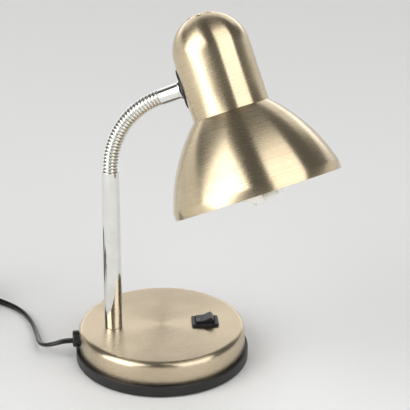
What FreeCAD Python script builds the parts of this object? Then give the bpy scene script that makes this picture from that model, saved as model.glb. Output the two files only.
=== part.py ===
import FreeCAD, Part
import math
import os
from FreeCAD import Placement, Rotation, Vector

# Desk lamp: a round weighted base with a rocker switch, an upright stem, a flexible
# ribbed neck and a bell shade with a domed cap, which swivels on the end of the neck.
# Millimetres. The origin is the middle of the base on the table, +X points from the
# stem to the switch and +Z is up.

os.makedirs("parts", exist_ok=True)

# Base cover and tray
cover_radius = 65.0
cover_top = 28.0
cover_edge = 5.0
cover_wall = 0.8
cover_foot = 4.0
tray_fit = 0.2
tray_wall = 2.3
tray_top = 9.6
tray_floor = 2.0
tray_clearance = 0.8
tray_edge = 0.8
pad_inset = 9.0
pad_height = 1.5
pad_fit = 0.2
pad_edge = 0.5

# Ballast plate and the screws that hold the tray to it
ballast_inset = 5.5
ballast_height = 8.0
ballast_edge = 0.8
ballast_window_gap = 1.0
screw_inset = 13.5
screw_phase = 90.0
screw_count = 3
screw_radius = 1.75
screw_tip_gap = 2.2
screw_head_radius = 3.3
screw_head_height = 2.2
screw_seat = 9.0
screw_fit = 0.3
screw_recess_width = 0.8
thread_fit = 0.05
boss_wall = 1.6

# Stem, its hollow threaded nipple, washer and nut
stem_inset = 27.3
stem_radius = 7.0
stem_wall = 1.0
stem_top = 160.3
stem_neck_radius = 6.5
stem_neck_length = 11.0
stem_foot_length = 12.0
nipple_radius = 5.0
nipple_bore = 3.6
nipple_edge = 0.5
nipple_spare = 1.0
washer_radius = 10.0
washer_height = 1.0
nut_flats = 14.0
nut_height = 4.0

# Rocker switch
switch_inset = 31.16
bezel_length = 21.0
bezel_width = 15.0
bezel_height = 2.0
bezel_corner = 1.6
switch_body_length = 18.8
switch_body_width = 12.8
switch_depth = 12.0
switch_fit = 0.2
rocker_throat = 15.6
rocker_slot_width = 11.2
rocker_fit = 0.3
pivot_drop = 1.5
rocker_rise = 4.6
rocker_dip = 1.0
rocker_angle = 15.0
trunnion_radius = 1.2
trunnion_length = 0.8
trunnion_fit = 0.05
terminal_spacing = 10.0
terminal_width = 4.8
terminal_thickness = 0.8
terminal_length = 7.0

# Strain relief bush and the flat power cord, drawn round at its full width
relief_flange_radius = 6.5
relief_flange_length = 5.0
relief_neck_radius = 4.0
relief_neck_length = 13.0
relief_fit = 0.1
relief_rise = 1.6
cord_exit_drop = 12.2
cord_diameter = 5.2
wire_radius = 1.0
wire_height = 8.0
wire_side = 11.0
sheath_spare = 2.0
stem_lead_radius = 2.3

# Gooseneck: ribbed ball-and-socket links along an arc
link_count = 28
link_pitch = 2.86
link_radius = 6.0
link_bore = 3.9
link_ball_radius = 4.75
link_ball_fit = 0.15
link_gap = 0.6
link_skirt = 1.3
link_web = 0.95
link_rib_root = 5.1
link_tail_radius = 5.3
link_tail_length = 12.0
link_tail_step = 0.2
neck_bend = 64.83
neck_heading = -20.6

# Ferrule, swivel nipple and nut, saddle gasket
ferrule_radius = 6.2
ferrule_length = 19.15
ferrule_edge = 0.5
collar_radius = 7.25
collar_length = 2.0
dimple_radius = 2.0
dimple_depth = 0.8
dimple_place = 9.0
swivel_grip = 11.0
swivel_gap = 0.3
swivel_fit = 0.05
gasket_radius = 15.7
gasket_thickness = 1.4
gasket_boss_radius = 8.0
gasket_boss_height = 0.25
shade_twist = 16.67

# Shade, measured along its axis from the plane of the rim
shade_wall = 0.7
rim_radius = 63.1
lip_height = 6.0
bell_height = 63.1
bell_step = 0.85
bell_arc_radius = 127.67
dome_radius = 28.65
dome_height = 109.5
swivel_drop = 19.4
crease_height = 0.6
vent_count = 8
vent_radius = 2.3
vent_circle = 9.9
vent_phase = 15.6

# Lampholder and its bracket
bracket_width = 14.0
bracket_thickness = 1.5
bracket_drop = 5.5
bracket_bush = 2.0
bracket_bush_rise = 3.0
bracket_tab = 12.0
holder_stub_length = 5.0
holder_radius = 14.0
holder_wall = 1.5
holder_length = 36.0
holder_roof = 8.0
holder_edge = 1.0
shell_fit = 0.3
shell_wall = 0.5
contact_radius = 2.0

# Spiral fluorescent bulb with a small screw cap
cap_radius = 6.9
cap_height = 19.0
cap_tip_radius = 2.4
cap_tip_height = 3.0
housing_radius = 19.0
housing_length = 26.0
housing_neck_radius = 10.0
housing_rim = 7.0
tube_radius = 4.5
spiral_radius = 17.2
spiral_pitch = 21.0
spiral_entry_radius = 12.6
spiral_turn = -157.4
spiral_lead_in = 7.0
entry_turn = 62.0
first_end = (-30, 3.7)
second_end = (-104, -2.6)
# Places and directions of the loop that joins the ends of the two strands
loop_knots = [
    ((8.8, 1.9, 1.5), (-1, -0.1, -0.4)), ((1.8, -5.1, -2.4), (0, -1, -0.3)),
    ((1.6, -10.6, -3.9), (-0.25, -1, 0))]

# Put-away coil of the cord, and the plug
coil_layers = 4
coil_layer_turns = 2.088
coil_inner_radius = 24.3
coil_pitch = 5.75
coil_steps = 8
plug_length = 36.0
plug_width = 35.3
plug_height = 13.7
plug_rear_width = 14.0
plug_edge = 2.0
plug_shoulder = 0.62
plug_taper = 1.5
plug_relief_length = 12.0
plug_relief_wall = 0.9
pin_radius = 2.0
pin_length = 19.0
pin_spacing = 19.0
pin_root = 6.0
plug_straight = 7.0
plug_from_coil = (-30.6, -50.8)
plug_slant = 0.1
# Corners of the cord from the bush's face (away from it, sideways, height), as it lies on the table
cord_bends = [
    (6.5, 0, 15.8), (13.3, 0.5, 13.6), (19.3, 3.9, 10.5), (24, 9.8, 7.7), (26.4, 18.6, 5.6),
    (27.6, 29.3, 4), (29.3, 40.5, 3), (31.3, 52, 2.6), (34.4, 63, 2.6), (39.3, 74.2, 2.6),
    (47, 85, 2.6), (57.3, 94.6, 2.6), (69.5, 104.3, 2.6), (81, 114.3, 2.6)]
# Corners of the cord's tail from the middle of the coil down to the plug
tail_bends = [(-35.5, -21.8, 16.6), (-33.6, -32.8, 10.6), (-31.6, -42.3, 7.4)]

# Sizes and places that follow from the ones above
up = Vector(0, 0, 1)
cord_radius = cord_diameter / 2
tray_inner_radius = cover_radius + tray_fit
tray_radius = tray_inner_radius + tray_wall
tray_floor_top = tray_clearance + tray_floor
pad_radius = cover_radius - pad_inset
ballast_radius = cover_radius - ballast_inset
screw_circle = ballast_radius - screw_inset
stem_x = stem_inset - cover_radius
switch_x = cover_radius - switch_inset
cord_exit_height = cover_top - cord_exit_drop
ballast_top = cover_top - cover_wall
ballast_bottom = ballast_top - ballast_height
screw_bore = screw_radius + screw_fit
screw_length = ballast_top - screw_tip_gap - screw_seat
boss_radius = screw_head_radius + screw_fit + boss_wall
nut_bottom = ballast_bottom - washer_height - nut_height
nipple_hole = nipple_radius + thread_fit
socket_radius = link_ball_radius + link_ball_fit
link_step = math.radians(neck_bend / link_count)
neck_radius = link_pitch / (2 * math.tan(link_step / 2))
bell_top_radius = dome_radius + bell_step
swivel_height = dome_height - swivel_drop
bracket_height = dome_height - bracket_drop
gasket_outer = dome_radius + gasket_thickness
boss_face = gasket_outer + gasket_boss_height
dome_bore = dome_radius - shade_wall
shade_reach = ferrule_length + swivel_gap + boss_face
nut_corner = nut_flats / math.sqrt(3)
nut_seat = math.sqrt(dome_bore ** 2 - nut_corner ** 2) - swivel_gap
holder_top = bracket_height
holder_mouth = holder_top - holder_length
holder_floor = holder_top - holder_roof
relief_face = -cover_radius - relief_flange_length
relief_end = -cover_radius + relief_neck_length


# Frames of the neck, the ferrule and the shade

heading = Vector(math.cos(math.radians(neck_heading)), math.sin(math.radians(neck_heading)), 0)
sideways = up.cross(heading)


def neck_direction(angle):
    """Direction of the neck's axis where it has turned by an angle from upright."""
    return heading * math.sin(angle) + up * math.cos(angle)


def neck_joint(index):
    """Centre of the ball joint after link number index."""
    centre = Vector(stem_x, 0, stem_top) + heading * neck_radius
    reach = neck_radius / math.cos(link_step / 2)
    angle = index * link_step
    return centre - heading * (reach * math.cos(angle)) + up * (reach * math.sin(angle))


def axis_frame(origin, along, across):
    """Placement with its Z along one direction and its X towards another."""
    return Placement(origin, Rotation(across, along.cross(across), along, "ZXY"))


ferrule_axis = neck_direction(math.radians(neck_bend))
ferrule_start = neck_joint(link_count)
ferrule_upward = up * math.sin(math.radians(neck_bend)) - heading * math.cos(math.radians(neck_bend))
twist = math.radians(shade_twist)
shade_axis = ferrule_upward * math.cos(twist) + sideways * math.sin(twist)
swivel_centre = ferrule_start + ferrule_axis * shade_reach
shade_frame = axis_frame(swivel_centre - shade_axis * swivel_height, shade_axis, ferrule_axis)
ferrule_frame = axis_frame(ferrule_start, ferrule_axis, ferrule_upward)
stem_frame = Placement(Vector(stem_x, 0, 0), Rotation())
switch_pivot = Vector(switch_x, 0, cover_top + bezel_height - pivot_drop)


# Helpers

def corner_arc(before, corner, after, radius):
    """Start, middle and end of the fillet that rounds a corner."""
    one = (before - corner).normalize()
    two = (after - corner).normalize()
    half = one.getAngle(two) / 2
    reach = min(radius / math.tan(half), 0.49 * min((before - corner).Length, (after - corner).Length))
    radius = reach * math.tan(half)
    bisector = (one + two).normalize()
    middle = corner + bisector * (radius / math.sin(half) - radius)
    return corner + one * reach, middle, corner + two * reach


def outline(corners):
    """Face of a closed outline in the XZ plane; a third number in a corner is its fillet."""
    points = [Vector(corner[0], 0, corner[1]) for corner in corners]
    stops = []
    for index, corner in enumerate(corners):
        if len(corner) == 3 and corner[2] > 0:
            after = points[(index + 1) % len(points)]
            stops.append(corner_arc(points[index - 1], points[index], after, corner[2]))
        else:
            stops.append((points[index],))
    edges = []
    for index, stop in enumerate(stops):
        if len(stop) == 3:
            edges.append(Part.Arc(*stop).toShape())
        following = stops[(index + 1) % len(stops)][0]
        if stop[-1].distanceToPoint(following) > 1e-6:
            edges.append(Part.LineSegment(stop[-1], following).toShape())
    return Part.Face(Part.Wire(edges))


def lathe(corners):
    """Solid of an outline in (radius, height) turned about Z."""
    return outline(corners).revolve(Vector(), up, 360)


def rod(radius, low, high):
    """Cylinder about Z between two heights."""
    return Part.makeCylinder(radius, high - low, Vector(0, 0, low))


def ring(outer, inner, low, high):
    """Tube about Z between two heights."""
    return rod(outer, low, high).cut(rod(inner, low, high))


def block(length, width, low, high):
    """Box centred on Z between two heights."""
    return Part.makeBox(length, width, high - low, Vector(-length / 2, -width / 2, low))


def hexagon(flats, low, high, bore):
    """Hexagon nut about Z between two heights."""
    corner = flats / math.sqrt(3)
    turns = [math.radians(60 * step + 30) for step in range(7)]
    points = [Vector(corner * math.cos(turn), corner * math.sin(turn), low) for turn in turns]
    body = Part.Face(Part.makePolygon(points)).extrude(Vector(0, 0, high - low))
    rounding = lathe([(0, low), (corner, low), (corner, high - 0.5), (corner - 0.9, high), (0, high)])
    return body.common(rounding).cut(rod(bore, low - 1, high + 1))


def placed(shape, placement):
    """Copy of a shape moved by a placement."""
    moved = shape.copy()
    moved.Placement = placement.multiply(moved.Placement)
    return moved


def around(shape, radius, count, phase=0.0):
    """Copies of a shape on a circle about Z."""
    copies = []
    for index in range(count):
        turn = phase + 360 * index / count
        spin = Placement(Vector(), Rotation(up, turn))
        copies.append(placed(placed(shape, Placement(Vector(radius, 0, 0), Rotation())), spin))
    return copies


def half_turn_arc(start, direction, end):
    """Arc from a point along a direction to another point."""
    chord = end - start
    angle = direction.getAngle(chord)
    control = start + direction * (chord.Length / (2 * math.cos(angle)))
    middle = (start + end) / 2
    share = 0.5 if angle < 1e-6 else math.tan(angle / 2) / math.tan(angle)
    return Part.Arc(start, middle + (control - middle) * share, end).toShape()


def biarc(start, start_direction, end, end_direction):
    """Two arcs that join two points and follow the directions given there."""
    span = end - start
    total = start_direction + end_direction
    bend = 2 * (1 - start_direction.dot(end_direction))
    along = span.dot(total)
    if bend < 1e-9:
        reach = span.dot(span) / (2 * along)
    else:
        reach = (math.sqrt(along * along + bend * span.dot(span)) - along) / bend
    joint = (start + start_direction * reach + end - end_direction * reach) / 2
    first = half_turn_arc(start, start_direction, joint)
    second = half_turn_arc(end, end_direction * -1, joint)
    backwards = Part.Arc(joint, second.valueAt((second.FirstParameter + second.LastParameter) / 2), end)
    return [first, backwards.toShape()]


def biarc_edges(knots):
    """Arcs through a list of (point, direction) knots."""
    edges = []
    for one, two in zip(knots, knots[1:]):
        edges += biarc(one[0], one[1], two[0], two[1])
    return edges


def tube_along(edges, radius):
    """Round tube along a path of edges."""
    path = Part.Wire(edges)
    start = path.Edges[0].valueAt(path.Edges[0].FirstParameter)
    direction = path.Edges[0].tangentAt(path.Edges[0].FirstParameter)
    section = Part.Wire(Part.makeCircle(radius, start, direction))
    return path.makePipeShell([section], True, False)


def rounded_route(points):
    """Straight runs joined by tangent arcs, and the arcs' radii."""
    corners = []
    for before, corner, after in zip(points, points[1:], points[2:]):
        turn = (corner - before).getAngle(after - corner)
        reach = 0.45 * min((corner - before).Length, (after - corner).Length)
        corners.append((corner_arc(before, corner, after, reach / math.tan(turn / 2)), turn, reach))
    edges = []
    radii = []
    last = points[0]
    for stops, turn, reach in corners:
        edges.append(Part.LineSegment(last, stops[0]).toShape())
        edges.append(Part.Arc(*stops).toShape())
        radii.append(reach / math.tan(turn / 2))
        last = stops[2]
    edges.append(Part.LineSegment(last, points[-1]).toShape())
    return edges, radii


def soft_tube(name, points, radius):
    """Tube along a rounded route, which says how tight its bends are and checks its volume."""
    edges, radii = rounded_route(points)
    tube = tube_along(edges, radius)
    length = sum(edge.Length for edge in edges)
    share = tube.Volume / (math.pi * radius ** 2 * length)
    print(name, "length", round(length, 1), "volume share", round(share, 4),
          "radii", [round(radius, 1) for radius in radii])
    return tube


def save(name, shape):
    """Write one node, as a compound where it is a group of separate solids."""
    if isinstance(shape, list):
        shape = Part.makeCompound(shape)
    if not shape.isValid():
        print("not valid:", name)
    shape.exportStep("parts/" + name + ".step")


# Base

def base_cover():
    inner_edge = cover_edge - cover_wall
    shell = lathe([
        (0, ballast_top), (cover_radius - cover_wall, ballast_top, inner_edge),
        (cover_radius - cover_wall, cover_foot), (cover_radius, cover_foot),
        (cover_radius, cover_top, cover_edge), (0, cover_top)])
    stem_hole = placed(rod(nipple_hole, ballast_bottom, cover_top + cover_wall), stem_frame)
    switch_hole = block(
        switch_body_length + 2 * switch_fit, switch_body_width + 2 * switch_fit,
        cover_top - switch_depth, cover_top + cover_wall)
    switch_hole.translate(Vector(switch_x, 0, 0))
    relief_hole = rod(relief_neck_radius + relief_fit, -cover_edge, cover_wall)
    relief_hole = along_minus_x(relief_hole, -cover_radius, cord_exit_height)
    return shell.cut([stem_hole, switch_hole, relief_hole])


def base_tray():
    dish = lathe([
        (0, tray_clearance), (tray_radius, tray_clearance, tray_edge), (tray_radius, tray_top, tray_edge),
        (tray_inner_radius, tray_top), (tray_inner_radius, tray_floor_top), (0, tray_floor_top)])
    boss = rod(boss_radius, tray_floor_top - tray_floor / 2, ballast_bottom)
    dish = dish.fuse(around(boss, screw_circle, screw_count, screw_phase))
    bore = rod(screw_bore, 0, ballast_bottom + 1)
    seat = rod(screw_head_radius + screw_fit, 0, screw_seat)
    dish = dish.cut(around(bore.fuse(seat), screw_circle, screw_count, screw_phase))
    recess = rod(pad_radius + pad_fit, 0, pad_height)
    return dish.cut(recess).removeSplitter()


def ballast_plate():
    plate = lathe([
        (0, ballast_bottom), (ballast_radius, ballast_bottom, ballast_edge),
        (ballast_radius, ballast_top, ballast_edge), (0, ballast_top)])
    stem_hole = placed(rod(nipple_hole, 0, cover_top), stem_frame)
    gap = 2 * ballast_window_gap
    window = block(switch_body_length + gap, switch_body_width + gap, 0, cover_top)
    window.translate(Vector(switch_x, 0, 0))
    screw_hole = rod(screw_radius + thread_fit, ballast_bottom - 1, screw_seat + screw_length + 0.5)
    half_width = relief_neck_radius + 1.5 * ballast_window_gap
    notch_start = Vector(-cover_radius, -half_width, 0)
    notch = Part.makeBox(relief_end + gap + cover_radius, 2 * half_width, cover_top, notch_start)
    holes = around(screw_hole, screw_circle, screw_count, screw_phase)
    return plate.cut([stem_hole, window, notch] + holes)


def tray_screws():
    head_low = screw_seat - screw_head_height
    screw = lathe([
        (0, head_low), (screw_head_radius, head_low, 1.2), (screw_head_radius, screw_seat),
        (screw_radius, screw_seat), (screw_radius, screw_seat + screw_length - 1),
        (screw_radius - 0.6, screw_seat + screw_length), (0, screw_seat + screw_length)])
    slot = block(2 * screw_radius + 0.6, screw_recess_width, head_low - 1, head_low + 1.2)
    cross = slot.fuse(placed(slot, Placement(Vector(), Rotation(up, 90))))
    return around(screw.cut(cross), screw_circle, screw_count, screw_phase)


def foot_pad():
    return lathe([(0, 0), (pad_radius, 0, pad_edge), (pad_radius, pad_height), (0, pad_height)])


# Stem

def stem_tube():
    foot = cover_top + stem_foot_length
    shoulder = stem_top - stem_neck_length
    socket = link_tail_radius + thread_fit
    socket_low = stem_top - link_tail_length - 1
    bore = stem_radius - stem_wall
    tube = lathe([
        (nipple_hole, cover_top), (stem_radius, cover_top, 0.5), (stem_radius, shoulder, 2),
        (stem_neck_radius, shoulder + 2, 2), (stem_neck_radius, stem_top, 0.4), (socket, stem_top),
        (socket, socket_low), (bore, socket_low - 1), (bore, foot + 1), (nipple_hole, foot)])
    return placed(tube, stem_frame)


def stem_nipple():
    low = nut_bottom - nipple_spare
    high = cover_top + stem_foot_length
    tube = lathe([
        (nipple_bore, low), (nipple_radius, low, nipple_edge), (nipple_radius, high, nipple_edge),
        (nipple_bore, high)])
    return placed(tube, stem_frame)


def stem_washer():
    washer = ring(washer_radius, nipple_hole, ballast_bottom - washer_height, ballast_bottom)
    return placed(washer, stem_frame)


def stem_nut():
    nut = hexagon(nut_flats, nut_bottom, nut_bottom + nut_height, nipple_hole)
    return placed(nut, stem_frame)


# Rocker switch

def rounded_box(length, width, low, high, corner):
    """Box centred on Z with rounded upright edges."""
    solid = block(length, width, low, high)
    uprights = [edge for edge in solid.Edges if abs(edge.tangentAt(edge.FirstParameter).z) > 0.9]
    return solid.makeFillet(corner, uprights)


def switch_housing():
    top = cover_top + bezel_height
    bezel = rounded_box(bezel_length, bezel_width, cover_top, top, bezel_corner)
    rim = [edge for edge in bezel.Edges if min(vertex.Z for vertex in edge.Vertexes) > top - 1e-6]
    bezel = bezel.makeFillet(0.6, rim)
    body_low = cover_top - switch_depth
    body = rounded_box(switch_body_length, switch_body_width, body_low, cover_top + 0.5, 0.5)
    housing = bezel.fuse(body)
    pocket_depth = rocker_sweep() + rocker_fit
    pocket = block(rocker_throat, rocker_slot_width, switch_pivot.z - pocket_depth, top + 1)
    pivots = Part.makeCylinder(
        trunnion_radius + trunnion_fit, rocker_slot_width + 2 * trunnion_length,
        Vector(0, -rocker_slot_width / 2 - trunnion_length + 0.2, switch_pivot.z), Vector(0, 1, 0))
    pivots = pivots.common(block(10, rocker_slot_width + 2 * trunnion_length - 0.4, 0, top + 1))
    slots = []
    for side in (-1, 1):
        slot = block(terminal_thickness + 0.1, terminal_width + 0.1, 0, switch_pivot.z - pocket_depth - 1)
        slot.translate(Vector(side * terminal_spacing / 2, 0, 0))
        slots.append(slot)
    housing = housing.cut([pocket, pivots] + slots)
    housing.translate(Vector(switch_x, 0, 0))
    return housing.removeSplitter()


def rocker_sweep():
    """Radius of the rocker's round ends about its pivot."""
    return rocker_throat / 2 - rocker_fit


def switch_rocker():
    sweep = rocker_sweep()
    top_x = math.sqrt(sweep ** 2 - rocker_rise ** 2)
    low_z = -sweep * math.sin(math.radians(12))
    low_x = sweep * math.cos(math.radians(12))
    edges = [
        Part.LineSegment(Vector(-top_x, 0, rocker_rise), Vector(0, 0, rocker_rise - rocker_dip)),
        Part.LineSegment(Vector(0, 0, rocker_rise - rocker_dip), Vector(top_x, 0, rocker_rise)),
        Part.Arc(Vector(top_x, 0, rocker_rise), Vector(sweep, 0, 0), Vector(low_x, 0, low_z)),
        Part.LineSegment(Vector(low_x, 0, low_z), Vector(1.5, 0, low_z)),
        Part.LineSegment(Vector(1.5, 0, low_z), Vector(1.5, 0, -sweep + 1.4)),
        Part.Arc(Vector(1.5, 0, -sweep + 1.4), Vector(0, 0, -sweep + 0.4), Vector(-1.5, 0, -sweep + 1.4)),
        Part.LineSegment(Vector(-1.5, 0, -sweep + 1.4), Vector(-1.5, 0, low_z)),
        Part.LineSegment(Vector(-1.5, 0, low_z), Vector(-low_x, 0, low_z)),
        Part.Arc(Vector(-low_x, 0, low_z), Vector(-sweep, 0, 0), Vector(-top_x, 0, rocker_rise))]
    half_width = rocker_slot_width / 2 - rocker_fit
    face = Part.Face(Part.Wire([edge.toShape() for edge in edges]))
    body = face.extrude(Vector(0, 2 * half_width, 0))
    body.translate(Vector(0, -half_width, 0))
    pin_end = half_width + rocker_fit + trunnion_length - 0.3
    pins = Part.makeCylinder(trunnion_radius, 2 * pin_end, Vector(0, -pin_end, 0), Vector(0, 1, 0))
    rocker = body.fuse(pins).removeSplitter()
    return placed(rocker, Placement(switch_pivot, Rotation(Vector(0, 1, 0), -rocker_angle)))


def terminal_low():
    return cover_top - switch_depth - terminal_length


def switch_terminals():
    high = switch_pivot.z - rocker_sweep() - rocker_fit - 1
    blades = []
    for side in (-1, 1):
        blade = block(terminal_thickness, terminal_width, terminal_low(), high)
        blade.translate(Vector(switch_x + side * terminal_spacing / 2, 0, 0))
        blades.append(blade)
    return blades


# Strain relief and cord

def along_minus_x(shape, x, z):
    """Shape about Z turned to point along -X from a place on the base's middle line."""
    return placed(shape, Placement(Vector(x, 0, z), Rotation(Vector(0, 1, 0), -90)))


def strain_relief():
    flange = lathe([
        (0, -2), (relief_flange_radius, -2), (relief_flange_radius, relief_flange_length, 1.4),
        (0, relief_flange_length)])
    flange = along_minus_x(flange, -cover_radius, cord_exit_height + relief_rise)
    flange = flange.cut(rod(cover_radius, 0, cover_top + 10))
    neck = along_minus_x(rod(relief_neck_radius, -relief_neck_length, 1.5), -cover_radius, cord_exit_height)
    bore = rod(cord_radius, -relief_neck_length - 1, relief_flange_length + 1)
    bore = along_minus_x(bore, -cover_radius, cord_exit_height)
    return flange.fuse(neck).cut(bore).removeSplitter()


cord_route = [Vector(relief_face, 0, cord_exit_height)]
cord_route += [Vector(relief_face - away, side, height) for away, side, height in cord_bends]


def coil_point(turn):
    """Point of the coil's axis after a number of turns."""
    phase = turn / coil_layer_turns
    radius = coil_inner_radius + coil_pitch * coil_layer_turns * abs((phase % 2) - 1)
    height = cord_route[-1].z
    for layer in range(1, coil_layers):
        climb = min(max((turn - layer * coil_layer_turns + 0.25) * 2, 0), 1)
        height += coil_pitch * (1 - math.cos(math.pi * climb)) / 2
    angle = coil_start + 2 * math.pi * turn
    outward = Vector(math.cos(angle), math.sin(angle), 0)
    return Vector(coil_centre.x, coil_centre.y, height) + outward * radius


def coil_direction(turn):
    """Direction of the coil's axis after a number of turns."""
    nudge = 1e-3
    return (coil_point(turn + nudge) - coil_point(turn - nudge)).normalize()


coil_heading = (cord_route[-1] - cord_route[-2]).normalize()
coil_start = math.atan2(coil_heading.y, coil_heading.x) - math.pi / 2
coil_outer_radius = coil_inner_radius + coil_pitch * coil_layer_turns
coil_entry = cord_route[-1] + coil_heading * cord_diameter
coil_centre = coil_entry - Vector(math.cos(coil_start), math.sin(coil_start), 0) * coil_outer_radius


def coil_knots():
    """Points and directions of the coil's axis at even steps of about a quarter turn."""
    knots = []
    steps = coil_layers * coil_steps
    for step in range(steps + 1):
        turn = step * coil_layer_turns / coil_steps
        direction = coil_direction(turn)
        if step in (0, steps):
            angle = coil_start + 2 * math.pi * turn
            direction = Vector(-math.sin(angle), math.cos(angle), 0)
        knots.append((coil_point(turn), direction))
    return knots


def least_gap(edges, diameter):
    """Smallest space between turns, measured on points along the path."""
    points = []
    travelled = 0.0
    for edge in edges:
        for spot in edge.discretize(9)[:-1]:
            points.append((travelled, spot))
            travelled += edge.Length / 8
    apart = 6 * diameter
    least = min(
        one.distanceToPoint(two)
        for index, (place, one) in enumerate(points)
        for other, two in points[index + 1:] if other - place > apart)
    return least - diameter


def coil_exit():
    """Start and direction of the cord's tail where it leaves the coil."""
    point, direction = coil_knots()[-1]
    return point + direction * cord_diameter, direction


def cord_coil():
    knots = coil_knots()
    lead_in = Part.LineSegment(cord_route[-1], knots[0][0]).toShape()
    lead_out = Part.LineSegment(knots[-1][0], coil_exit()[0]).toShape()
    edges = [lead_in] + biarc_edges(knots) + [lead_out]
    coil = tube_along(edges, cord_radius)
    length = sum(edge.Length for edge in edges)
    share = coil.Volume / (math.pi * cord_radius ** 2 * length)
    print("cord_coil length", round(length, 1), "volume share", round(share, 4),
          "least gap", round(least_gap(edges, cord_diameter), 2))
    return coil


plug_entry = coil_centre + Vector(*plug_from_coil, 0)
plug_entry.z = plug_height / 2
plug_heading = Vector(plug_slant, -1, 0).normalize()


def tail_route():
    start, direction = coil_exit()
    route = [start, start + direction * plug_straight]
    for away, side, height in tail_bends:
        route.append(Vector(coil_centre.x + away, coil_centre.y + side, height))
    return route + [plug_entry, plug_entry + plug_heading * plug_straight]


def plug_frame():
    """Frame of the plug, which lies flat: Z points from the cord's entry to the pins."""
    return axis_frame(plug_entry + plug_heading * plug_straight, plug_heading, up.cross(plug_heading))


def power_plug():
    rear = plug_relief_length
    front = rear + plug_length
    half = plug_width / 2
    shoulder = rear + plug_shoulder * plug_length
    plan = outline([
        (-plug_rear_width / 2, rear, 2), (plug_rear_width / 2, rear, 2), (half, shoulder, 12),
        (half - plug_taper, front, 3), (-half + plug_taper, front, 3), (-half, shoulder, 12)])
    body = plan.extrude(Vector(0, plug_height, 0))
    body.translate(Vector(0, -plug_height / 2, 0))
    body = body.makeFillet(plug_edge, [edge for edge in body.Edges if edge.Length > 0 and flat_rim(edge)])
    relief_top = plug_height / 2 - plug_edge
    relief = lathe([
        (0, 0), (cord_radius + plug_relief_wall, 0, 0.4), (relief_top, rear), (relief_top, rear + 2),
        (0, rear + 2)])
    bores = [at_pin(rod(pin_radius, front - pin_root, front + 1), side) for side in (-1, 1)]
    plug = body.fuse(relief).cut(bores).removeSplitter()
    return placed(plug, plug_frame())


def flat_rim(edge):
    """Whether an edge lies in one of the plug's two broad faces."""
    return all(abs(abs(vertex.Y) - plug_height / 2) < 1e-6 for vertex in edge.Vertexes)


def at_pin(shape, side):
    """Shape moved from the plug's axis to one of the two pins."""
    return placed(shape, Placement(Vector(side * pin_spacing / 2, 0, 0), Rotation()))


def plug_pins():
    front = plug_relief_length + plug_length
    pin = lathe([
        (0, front - pin_root), (pin_radius, front - pin_root), (pin_radius, front + pin_length, 1.2),
        (0, front + pin_length)])
    return [placed(at_pin(pin, side), plug_frame()) for side in (-1, 1)]


# Leads inside the base and the stem

def base_leads():
    """Sheath of the cord behind the bush and the three leads from it to the switch and the stem."""
    sheath = rod(cord_radius, -relief_neck_length - sheath_spare, relief_flange_length)
    sheath = along_minus_x(sheath, -cover_radius, cord_exit_height)
    start = relief_end + sheath_spare
    unit = wire_radius
    low = wire_height - unit
    middle = (stem_x + switch_x) / 2
    beside_nut = stem_x + nut_corner
    near = switch_x - (terminal_spacing + terminal_thickness) / 2
    far = switch_x + (terminal_spacing + terminal_thickness) / 2
    blade = terminal_low() + 2 * unit
    nut_end = nut_bottom + unit
    nipple_end = cover_top - 4 * unit
    live = [
        Vector(start, 1.3 * unit, cord_exit_height),
        Vector(start + 3 * unit, 2.2 * unit, cord_exit_height - 2.2 * unit),
        Vector(start + 5 * unit, 5 * unit, wire_height + unit), Vector(beside_nut, wire_side, low),
        Vector(middle, 0.8 * wire_side, low), Vector(near - 10.4 * unit, 1.5 * unit, wire_height),
        Vector(near - 5.4 * unit, 0, blade), Vector(near, 0, blade)]
    neutral = [
        Vector(start, -1.3 * unit, cord_exit_height),
        Vector(start + 3 * unit, -2 * unit, cord_exit_height - 2.2 * unit),
        Vector(start + 5.5 * unit, -2.4 * unit, wire_height + unit),
        Vector(stem_x - 0.2 * unit, -1.4 * unit, wire_height),
        Vector(stem_x, -1.2 * unit, nut_end), Vector(stem_x, -1.2 * unit, nipple_end)]
    switched = [
        Vector(far, 0, blade), Vector(far + 4 * unit, 0, blade),
        Vector(far + 7 * unit, 6 * unit, wire_height), Vector(far + 2 * unit, 13 * unit, wire_height),
        Vector(near - 8.4 * unit, 17 * unit, low), Vector(middle - 6 * unit, 15 * unit, low),
        Vector(beside_nut + unit, 7 * unit, low - 0.5 * unit),
        Vector(stem_x + 1.5 * unit, 1.8 * unit, wire_height), Vector(stem_x, 1.2 * unit, nut_end),
        Vector(stem_x, 1.2 * unit, nipple_end)]
    wires = [soft_tube("base lead", route, wire_radius) for route in (live, neutral, switched)]
    return [sheath] + wires


def stem_lead():
    lead = rod(stem_lead_radius, cover_top - 4, stem_top - 1)
    return placed(lead, stem_frame)


# Gooseneck

def sphere_height(radius, offset):
    """Radius of a ball's section at a distance from its centre."""
    return math.sqrt(radius ** 2 - offset ** 2)


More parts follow.
